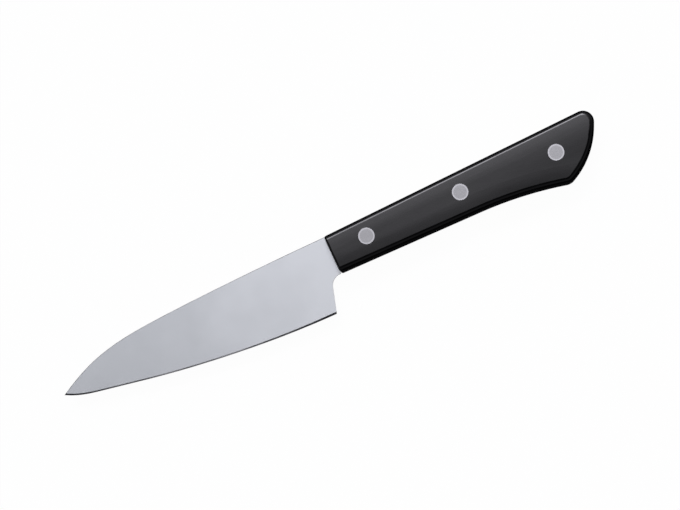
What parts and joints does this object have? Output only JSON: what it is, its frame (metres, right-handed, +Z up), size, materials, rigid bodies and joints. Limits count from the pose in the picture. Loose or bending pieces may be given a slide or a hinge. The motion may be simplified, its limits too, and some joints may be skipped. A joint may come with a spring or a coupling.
{
  "type": "paring knife",
  "caption": "Small kitchen paring knife: flat ground steel blade with a choil, and a slotted black moulded handle fixed to the tang with cutler's rivets.",
  "frame": {"origin": "centre of the footprint, on the table under the handle's right side, which the knife lies on", "axes": "+X from the point to the butt, +Y from the cutting edge to the spine, +Z up out of the handle's left side"},
  "size_m": [0.2086, 0.028, 0.013],
  "materials": {
    "blade_steel": "fine satin ground stainless steel",
    "handle_plastic": "satin black moulded plastic with a fine grain",
    "rivet_steel": "fine ground stainless steel"
  },
  "bodies": {
    "root": {"blade": "blade_steel", "handle": "handle_plastic", "front_rivet_tube": "rivet_steel", "front_rivet_pin": "rivet_steel", "middle_rivet_tube": "rivet_steel", "middle_rivet_pin": "rivet_steel", "rear_rivet_tube": "rivet_steel", "rear_rivet_pin": "rivet_steel"}
  },
  "joints": []
}
